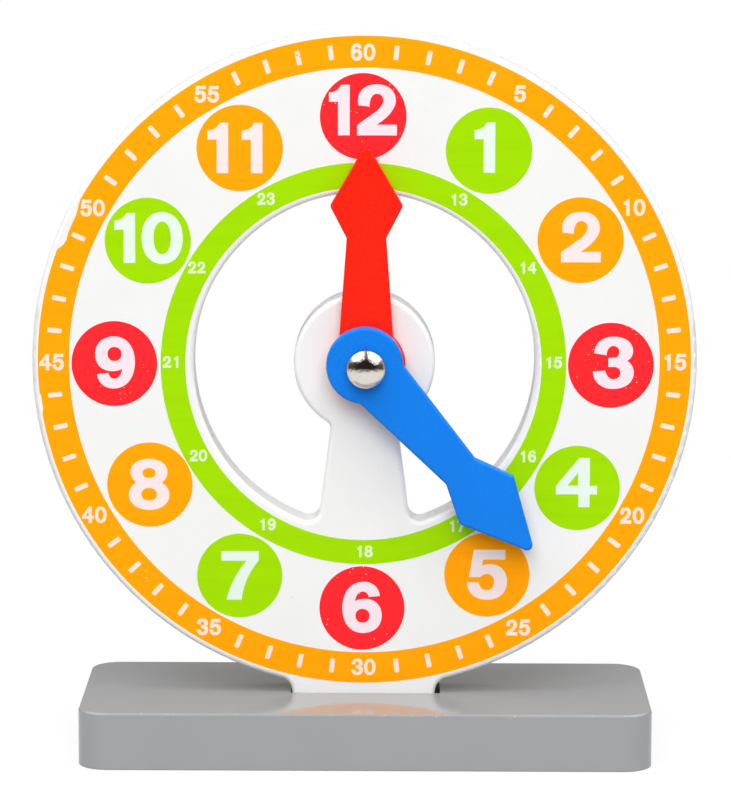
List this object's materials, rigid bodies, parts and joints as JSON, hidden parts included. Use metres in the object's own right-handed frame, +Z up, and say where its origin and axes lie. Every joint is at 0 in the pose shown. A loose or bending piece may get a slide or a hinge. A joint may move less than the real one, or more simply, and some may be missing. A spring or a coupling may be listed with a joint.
{
  "type": "teaching clock",
  "caption": "Free-standing teaching clock: a ring-shaped dial board plugs into a slotted base board, and arrow hands turn by hand on a domed bolt.",
  "frame": {"origin": "on the surface the clock stands on, below the centre of the ring and half way through the dial board", "axes": "+Z up, the face looks along -Y, +X to the right as the face is read"},
  "size_m": [0.22, 0.08, 0.2405],
  "materials": {
    "grey_lacquer": "semi-gloss grey lacquer over board",
    "white_lacquer": "satin white lacquer over board, printed front",
    "red_lacquer": "satin red paint",
    "blue_lacquer": "satin blue paint",
    "polished_steel": "polished",
    "zinc_steel": "zinc plated",
    "nylon": "matte"
  },
  "bodies": {
    "base": {"base": "grey_lacquer"},
    "dial": {"dial": "white_lacquer", "pivot_bolt": "polished_steel", "hub_washer": "nylon", "hand_washer": "nylon", "back_washer": "zinc_steel", "spring_washer": "zinc_steel", "lock_nut": "zinc_steel", "nut_insert": "nylon"},
    "hour_hand": {"hour_hand": "red_lacquer"},
    "minute_hand": {"minute_hand": "blue_lacquer"}
  },
  "joints": [
    {"name": "dial_lift", "type": "slide", "parent": "base", "child": "dial", "axis": [0, 0, 1], "range_m": [0, 0.0142]},
    {"name": "hour_hand_turn", "type": "hinge", "parent": "dial", "child": "hour_hand", "pos_m": [0.0006, -0.0109, 0.1305], "axis": [0, 1, 0], "continuous": true},
    {"name": "minute_hand_turn", "type": "hinge", "parent": "dial", "child": "minute_hand", "pos_m": [0.0006, -0.0162, 0.1305], "axis": [0, 1, 0], "continuous": true}
  ]
}
